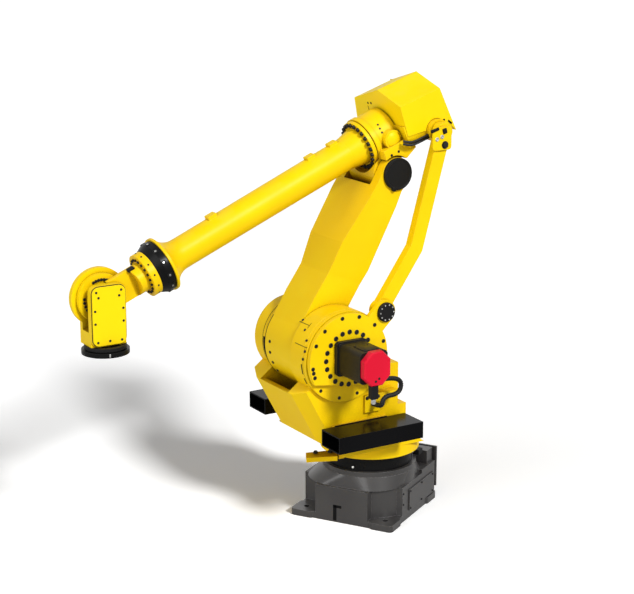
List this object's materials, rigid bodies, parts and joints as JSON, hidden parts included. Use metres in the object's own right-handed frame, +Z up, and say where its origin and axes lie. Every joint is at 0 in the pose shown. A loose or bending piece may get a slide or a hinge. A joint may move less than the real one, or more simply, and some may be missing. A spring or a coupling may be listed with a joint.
{
  "type": "industrial robot arm",
  "caption": "Heavy articulated handling robot with a parallel link beside the upper arm, a long tubular forearm, fork pockets on the turntable and a bolt-down base.",
  "frame": {"origin": "on the floor face of the base, on the turning axis of the turntable", "axes": "+Z up along the turning axis, +X the way the arm points in this pose, +Y the robot's left side, where the elbow drive motor is"},
  "size_m": [2.6491, 1.321, 2.9824],
  "materials": {
    "yellow_paint": "gloss",
    "grey_paint": "satin",
    "black_paint": "gloss",
    "red_plastic": "gloss",
    "black_plastic": "matte",
    "black_rubber": "matte"
  },
  "bodies": {
    "base": {"base_casting": "grey_paint", "side_cover": "grey_paint", "slewing_ring": "black_paint", "connector_tower": "grey_paint", "connector_panel": "grey_paint", "ring_sensor": "black_plastic"},
    "turntable": {"turntable_casting": "yellow_paint", "turning_stop": "yellow_paint", "hose_bracket": "yellow_paint", "fork_pocket_left": "black_paint", "fork_pocket_right": "black_paint", "elbow_motor": "black_paint", "elbow_motor_cap": "red_plastic", "motor_plug": "black_plastic", "motor_hose": "black_rubber", "shoulder_motor": "black_paint", "shoulder_motor_cap": "red_plastic"},
    "upper_arm": {"upper_arm": "yellow_paint"},
    "casing": {"elbow_casing": "yellow_paint", "elbow_caps": "black_plastic", "link_pin_plate": "yellow_paint", "motor_hood": "yellow_paint"},
    "rear_link": {"rear_link": "yellow_paint"},
    "crank": {"crank_plate": "yellow_paint", "crank_pin_cap": "black_plastic"},
    "forearm": {"forearm_tube": "yellow_paint", "wrist_ring": "black_paint", "wrist_neck": "yellow_paint"},
    "hand": {"hand_yoke": "yellow_paint", "hand_cover": "yellow_paint", "tool_ring": "black_plastic"},
    "tool": {"tool_flange": "black_paint"}
  },
  "joints": [
    {"name": "j1_turn", "type": "hinge", "parent": "base", "child": "turntable", "pos_m": [0, 0, 0.4], "axis": [0, 0, 1], "range_deg": [-148.5, 211.5]},
    {"name": "j2_shoulder", "type": "hinge", "parent": "turntable", "child": "upper_arm", "pos_m": [0.43, 0, 1.24], "axis": [0, 1, 0], "range_deg": [-51.1, 102.9]},
    {"name": "j3_elbow", "type": "hinge", "parent": "upper_arm", "child": "casing", "pos_m": [-0.04279, 0, 2.35924], "axis": [0, -1, 0], "range_deg": [-10, 82]},
    {"name": "link_rear_pin", "type": "hinge", "parent": "casing", "child": "rear_link", "pos_m": [-0.31783, 0, 2.62577], "axis": [0, -1, 0], "range_deg": [-82, 10]},
    {"name": "link_crank_pin", "type": "hinge", "parent": "rear_link", "child": "crank", "pos_m": [0.15496, 0, 1.50653], "axis": [0, -1, 0], "range_deg": [-10, 82]},
    {"name": "j4_roll", "type": "hinge", "parent": "casing", "child": "forearm", "pos_m": [0.03804, 0, 2.54872], "axis": [0.9198, 0, -0.3923], "range_deg": [-360, 360]},
    {"name": "j5_bend", "type": "hinge", "parent": "forearm", "child": "hand", "pos_m": [1.93287, 0, 1.74051], "axis": [0, -1, 0], "range_deg": [-55.1, 188.9]},
    {"name": "j6_tool", "type": "hinge", "parent": "hand", "child": "tool", "pos_m": [1.93287, 0, 1.40851], "axis": [0, 0, -1], "range_deg": [-360, 360]}
  ],
  "couplings": [
    {"joint": "link_rear_pin", "follows": "j3_elbow", "ratio": -1},
    {"joint": "link_crank_pin", "follows": "j3_elbow", "ratio": 1}
  ]
}
